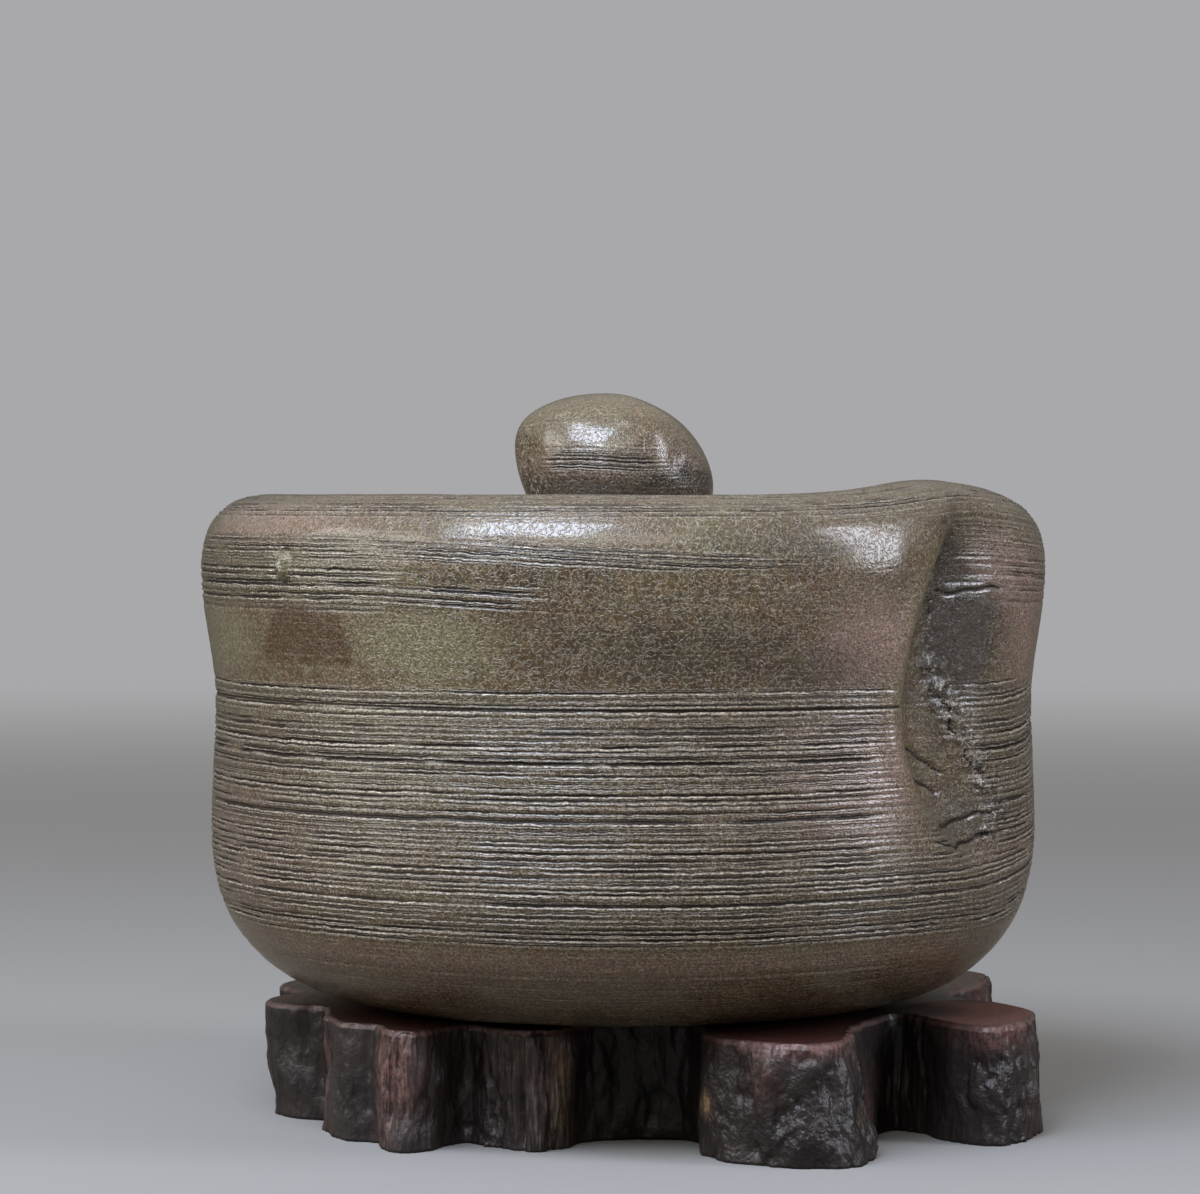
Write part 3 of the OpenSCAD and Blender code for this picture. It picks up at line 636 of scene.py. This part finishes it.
# Pale curls painted as glints, fewer where it is bare and where the smoke and painted shade lie; a pale lip, partly
# a painted highlight, and a dark bottom, partly painted shade, to every groove
curl_glint_share = calc(tree, "MULTIPLY", span(tree, zone[0], 0.3, 0.6, 0.3, 0.12), span(tree, zone[3], 0.4, 0.9, 1.0, 0.2))
tone = tint(tree, calc(tree, "MULTIPLY", curl, curl_glint_share), tone, "#aca08b")
tone = tint(tree, calc(tree, "MULTIPLY", lip, span(tree, bead, 0.4, 0.54, 0.15, 1.0)), tone, "#d6cbb8")
bottom = calc(tree, "MULTIPLY", cut, span(tree, bead, 0.36, 0.52, 0.55, 1.0))
tone = tint(tree, span(tree, bottom, 0.12, 0.42), tone, "#1a0f07")
# Crumbs of 1.6 mm in the torn clay, with painted glints on their faces and painted shade between them
crumb = cloudy(tree, place, 1.6, 4.0, 0.7)
tone = tint(tree, calc(tree, "MULTIPLY", marks["torn"], span(tree, crumb, 0.54, 0.6, 0.0, 1.0)), tone, "#d2cdc2")
tone = tint(tree, calc(tree, "MULTIPLY", marks["torn"], span(tree, crumb, 0.42, 0.49, 1.0, 0.0)), tone, "#120c07")
fleck = span(tree, sand, 0.36, 0.64, 0.48, 1.52)
tone = add(tree, "ShaderNodeVectorMath", {0: tone, "Scale": fleck}, operation="SCALE").outputs[0]
gloss = calc(tree, "SUBTRACT", span(tree, mottle, 0.3, 0.7, 0.16, 0.32), calc(tree, "MULTIPLY", marks["torn"], 0.06))
# The grooves keep a dry, dirty bottom: rough, and almost without the melted skin
gloss = calc(tree, "MAXIMUM", gloss, calc(tree, "MULTIPLY", cut, 0.8))
melted = span(tree, cut, 0.18, 0.55, 1.0, 0.12)
relief = calc(tree, "MULTIPLY", calc(tree, "MULTIPLY", bead, marks["combed"]), 0.32)
relief = calc(tree, "ADD", relief, calc(tree, "MULTIPLY", calc(tree, "SUBTRACT", lip, cut), 0.2))
relief = calc(tree, "ADD", relief, calc(tree, "MULTIPLY", calc(tree, "MULTIPLY", crumb, marks["torn"]), 1.2))
# The clay's own bump is sandy, and the melted skin over it is smoother
curled = calc(tree, "MULTIPLY", curl, 0.06)
grainy = calc(tree, "ADD", relief, calc(tree, "ADD", calc(tree, "MULTIPLY", sand, 0.25), curled))
skin = calc(tree, "ADD", calc(tree, "MULTIPLY", sand, 0.03), curled)
skin = calc(tree, "ADD", calc(tree, "MULTIPLY", relief, 0.4), skin)
bump, coat = (add(tree, "ShaderNodeBump", {"Height": value, "Strength": 1.0, "Distance": MM}).outputs[0]
              for value in (grainy, skin))
shader = add(tree, "ShaderNodeBsdfPrincipled", {
    "Base Color": tone, "Roughness": gloss, "Normal": bump, "IOR": 1.4,
    "Coat Weight": melted, "Coat Roughness": 0.09, "Coat IOR": 1.6, "Coat Normal": coat}).outputs[0]
add(tree, "ShaderNodeOutputMaterial", {"Surface": shader})

# Comb lines: grooves at uneven distances along the section, each with its own depth, and torn lumps in the scar
comb_sizes = {"Wander": 0.2, "Groove depth": 0.55, "Unevenness": 0.35, "Torn depth": 0.9, "Seed": 3}
combing, size = size_tree("comb_lines", comb_sizes)
place = add(combing, "GeometryNodeInputPosition").outputs[0]
marks = {name: add(combing, "GeometryNodeInputNamedAttribute", {"Name": name}, data_type="FLOAT").outputs[0]
         for name in ("level", "combed", "gap", "torn")}
slow = span(combing, cloudy(combing, place, 55, 2.0, seed=size["Seed"]), 0.25, 0.75, -1.0, 1.0)
line = calc(combing, "ADD", marks["level"], calc(combing, "MULTIPLY", slow, size["Wander"]))
cut = calc(combing, "MULTIPLY", comb_cut(combing, line, place, wide=1.5)[0], marks["combed"])
cut = calc(combing, "MAXIMUM", cut, span(combing, marks["gap"], 0.0, 1.4, 1.0, 0.0, "SMOOTHSTEP"))
# Torn clay: crumbs of 2.4 mm
rough = span(combing, cloudy(combing, place, 2.4, 4.0, 0.7), 0.3, 0.7, -1.0, 1.0)
rough = calc(combing, "MULTIPLY", rough, marks["torn"])
height = calc(combing, "MULTIPLY", slow, size["Unevenness"])
height = calc(combing, "ADD", height, calc(combing, "MULTIPLY", rough, size["Torn depth"]))
height = calc(combing, "SUBTRACT", height, calc(combing, "MULTIPLY", cut, size["Groove depth"]))
out = add(combing, "GeometryNodeInputNormal").outputs[0]
finish_tree(combing, size, pushed(combing, out, height), {"line": line})
grow(jar, combing, comb_sizes, glaze)
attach(jar, "jar")
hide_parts("jar_body")


# Lid: a flat disc of the same clay, thrown with a shallow hollow underneath, that drops into the mouth.
# Its flat margin rests on the jar's ledge, and its top keeps the rings left by the potter's fingers.
lid_z = 113.5
finger_step = 2.6
# Section from the hollow underneath, out round the margin and in over the top: radius, height
lid_corners = np.array([
    (25, 2), (53.5, 2), (54.2, 1.8), (55.8, 0.2), (56.5, 0), (63.0, 0), (64.2, 0.5), (64.8, 1.6), (64.8, 5.4),
    (64.2, 6.5), (63.0, 7), (21.5, 8.45), (20, 8.5), (6, 8.5)], float)
lid_section = np.vstack([spaced(lid_corners[k:k + 2], np.full(2, 0.5))[:-1] for k in range(len(lid_corners) - 1)]
                        + [lid_corners[-1:]])
lid_level = np.concatenate([[0], np.cumsum(np.hypot(*np.diff(lid_section, axis=0).T))])
lid_turn = np.arange(-180, 180, 2.5)
angle, r = np.meshgrid(lid_turn, lid_section[:, 0])
z = np.repeat(lid_section[:, 1:], len(lid_turn), axis=1)
on_top = ease(6.6, 7.0, z) * ease(7.5, 12, r)
nothing = np.zeros_like(z)
lid_poles = [(0, 0, lid_z + lid_corners[k, 1]) for k in (0, -1)]
lid = ring_mesh("lid_disc", turned(r, angle, z + lid_z), poles=lid_poles, marks={
    "level": lid_level[:, None] / finger_step + angle / 360, "combed": 0.45 * on_top,
    "gap": nothing + 9, "torn": nothing,
    "zone": np.stack([0.3 * ease(40, 60, r), 0.5 * on_top, nothing, 0.5 * ease(52, 64, r)], -1)})
grow(lid, combing, {"Wander": 0.1, "Groove depth": 0.3, "Unevenness": 0.15, "Torn depth": 0, "Seed": 8}, glaze)
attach(lid, "lid")
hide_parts("lid_plate")


# Knob: a lump of clay pressed to a pebble in the fingers and luted on to the lid, leaning a little to the left.
# A few comb lines cross its front, its left side is chipped, and the ash skin is thickest on its top.
# Its widest level slumps to the right and rises in a bulge beside the front; its corners are squarer at the left
knob_r, knob_h, knob_foot_r, knob_wide_z, knob_lean = 20.8, 32.4, 15.0, 16.2, 3.4
knob_n, knob_square, knob_oval, knob_corner, knob_slump = 2.2, 0.25, 0.02, 0.015, 2.6
bulge_at, bulge_w, bulge_rise = 34.0, 24.0, 4.0
knob_z = 122.0
knob_step = 0.95
# Finger presses: angle from the front round to the right, height above the lid, half width, half height, depth
presses = [
    (44, 18, 15, 6, 0.9), (-28, 25, 30, 5, 0.5), (110, 12, 25, 8, 0.8), (170, 22, 40, 8, 1.0), (10, 8, 30, 5, 0.6),
    (-62, 17, 13, 10, 1.1), (75, 22, 16, 7, 0.8), (-120, 14, 22, 9, 0.9), (0, 31, 200, 3, 0.5)]
# Chips: angle, height, half width, half height, amount
chips = [(-66, 19, 7, 5, 0.5), (-58, 12, 10, 3, 0.6), (46, 17, 6, 3, 0.7), (20, 5, 25, 3, 0.4),
         (-140, 20, 12, 5, 0.6)]
knob_turn = np.arange(-180, 180, 2.0)
rise_z = knob_h * np.sin(np.radians(np.linspace(0, 89, 150)))
angle, z = np.meshgrid(knob_turn, rise_z)
wide_z = knob_wide_z - knob_slump * np.sin(np.radians(angle))
wide_z += bulge_rise * np.exp(-((angle - bulge_at) / bulge_w) ** 2)
round_n = knob_n - knob_square * np.sin(np.radians(angle))
r = np.where(z < wide_z, knob_foot_r + (knob_r - knob_foot_r) * np.sin(np.pi / 2 * np.clip(z / wide_z, 0, 1)),
             knob_r * (1 - np.clip((z - wide_z) / (knob_h - wide_z), 0, 1) ** round_n) ** (1 / round_n))
r = r * (1 - knob_oval * np.cos(np.radians(2 * angle)) * np.sin(np.pi * z / knob_h)
         - knob_corner * np.cos(np.radians(3 * angle)) * z / knob_h)
for at, height, wide, tall, depth in presses:
    r = r - depth * np.exp(-(((angle - at + 180) % 360 - 180) / wide) ** 2 - ((z - height) / tall) ** 2)
points = turned(r, angle, z + knob_z)
points[..., 0] -= knob_lean * z / knob_h
front = between(-50, -34, 16, 30, angle)
# Darker low on the knob: smoke all round, and painted shade on its lower right
low_smoke_and_shade = 0.85 * (1 - ease(11, 19, z)) + 0.6 * ease(5, 50, angle) * (1 - ease(13, 22, z))
nothing = np.zeros_like(z)
knob = ring_mesh("pebble_knob", points, poles=[(0, 0, knob_z), (-knob_lean, 0, knob_z + knob_h)], marks={
    "level": (z + 0.4 * np.sin(np.radians(3 * angle))) / knob_step,
    "combed": front * between(15.0, 16.4, 19.6, 21.2, z) + 0.1, "gap": nothing + 9, "torn": fired(chips, angle, z),
    "zone": np.stack([0.5 * (1 - ease(4, 13, z)), 0.25 * ease(18, 28, z), 0.35 * (1 - ease(16, 24, z)), low_smoke_and_shade], -1)})
grow(knob, combing, {"Wander": 0.4, "Groove depth": 0.35, "Unevenness": 0.7, "Torn depth": 0.8, "Seed": 12}, glaze)
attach(knob, "lid")
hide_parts("lid_knob")


# Studio: a wide pale floor that fades into an even pale background, a long soft lamp overhead, a window-like
# lamp at the right, a broad dim one at the left and one high in front. Reflections show a paler sky over a
# dimmer room.
pale = "#a9a9ab"
floor_r, floor_sides = 12.0, 64
turn = [2 * math.pi * k / floor_sides for k in range(floor_sides)]
floor_mesh = bpy.data.meshes.new("floor")
floor_mesh.from_pydata([(floor_r * math.sin(t), floor_r * math.cos(t), 0.0) for t in turn], [],
                       [list(range(floor_sides - 1, -1, -1))])
floor = bpy.data.objects.new("floor", floor_mesh)
bpy.context.scene.collection.objects.link(floor)
paper = bpy.data.materials.new("pale_floor")
paper.use_nodes = True
tree = paper.node_tree
tree.nodes.clear()
place = add(tree, "ShaderNodeTexCoord").outputs["Object"]
# The floor turns into the background between 0.4 and 2.2 m from the object
far = add(tree, "ShaderNodeVectorMath", {0: place}, operation="LENGTH").outputs[1]
far = span(tree, far, 0.4, 2.2, kind="SMOOTHSTEP")
seen = add(tree, "ShaderNodeLightPath").outputs["Is Camera Ray"]
near_floor = add(tree, "ShaderNodeBsdfPrincipled", {
    "Base Color": tint(tree, seen, colour("#6c645a"), "#9b9a98"), "Roughness": 0.8}).outputs[0]
shown = span(tree, seen, 0.0, 1.0, 0.3, 1.0)
far_floor = add(tree, "ShaderNodeEmission", {
    "Color": tint(tree, seen, colour("#a39b90"), pale), "Strength": shown}).outputs[0]
mixed = add(tree, "ShaderNodeMixShader", {0: far, 1: near_floor, 2: far_floor}).outputs[0]
add(tree, "ShaderNodeOutputMaterial", {"Surface": mixed})
floor_mesh.materials.append(paper)

world = bpy.data.worlds.new("studio")
bpy.context.scene.world = world
world.use_nodes = True
tree = world.node_tree
tree.nodes.clear()
ray = add(tree, "ShaderNodeLightPath").outputs
place = add(tree, "ShaderNodeTexCoord").outputs["Generated"]
up = span(tree, add(tree, "ShaderNodeSeparateXYZ", {0: place}).outputs[2], 0.1, 0.9, 0.3, 1.7)
sky = add(tree, "ShaderNodeBackground", {"Color": colour("#aaa59d"), "Strength": up}).outputs[0]
fill = add(tree, "ShaderNodeBackground", {"Color": colour("#fffbf5"), "Strength": 0.2}).outputs[0]
shown = add(tree, "ShaderNodeBackground", {"Color": colour(pale), "Strength": 1.0}).outputs[0]
mirrored = calc(tree, "MAXIMUM", ray["Is Glossy Ray"], ray["Is Transmission Ray"])
mixed = add(tree, "ShaderNodeMixShader", {0: mirrored, 1: fill, 2: sky}).outputs[0]
mixed = add(tree, "ShaderNodeMixShader", {0: ray["Is Camera Ray"], 1: mixed, 2: shown}).outputs[0]
add(tree, "ShaderNodeOutputWorld", {"Surface": mixed})

# Lamps, all turned to the middle of the object: place and size in metres, watts, colour
middle = Vector((0, 0, 0.08))
for name, at, wide, high, watts, shade in (
        ("overhead", (-0.38, -0.6, 0.97), 0.62, 0.54, 14.5, "#dde9ff"),
        ("window", (1.0, -0.36, 0.52), 0.3, 0.8, 7.0, "#f0f3ff"),
        ("left_wall", (-1.15, -0.3, 0.6), 0.9, 0.6, 7.0, "#fffaf2"),
        ("high_front", (-0.1, -1.25, 1.0), 1.0, 0.5, 3.5, "#fff8ec")):
    lamp = bpy.data.lights.new(name, "AREA")
    lamp.shape, lamp.size, lamp.size_y, lamp.energy, lamp.color = "RECTANGLE", wide, high, watts, colour(shade)[:3]
    lamp_object = bpy.data.objects.new(name, lamp)
    lamp_object.location = at
    lamp_object.rotation_euler = (middle - Vector(at)).to_track_quat("-Z", "Y").to_euler()
    bpy.context.scene.collection.objects.link(lamp_object)

# The photograph's camera: 0.9 m in front, level with the jar's rim, and tilted down a little
eye = bpy.data.cameras.new("eye")
eye.lens, eye.sensor_width = 126.0, 36.0
eye_object = bpy.data.objects.new("eye", eye)
eye_object.location = (-0.00493, -0.9, 0.132)
eye_object.rotation_euler = (math.radians(90) - math.atan(100 / 4200), 0, 0)
bpy.context.scene.collection.objects.link(eye_object)
bpy.context.scene.camera = eye_object
bpy.context.scene.view_settings.view_transform = "Standard"
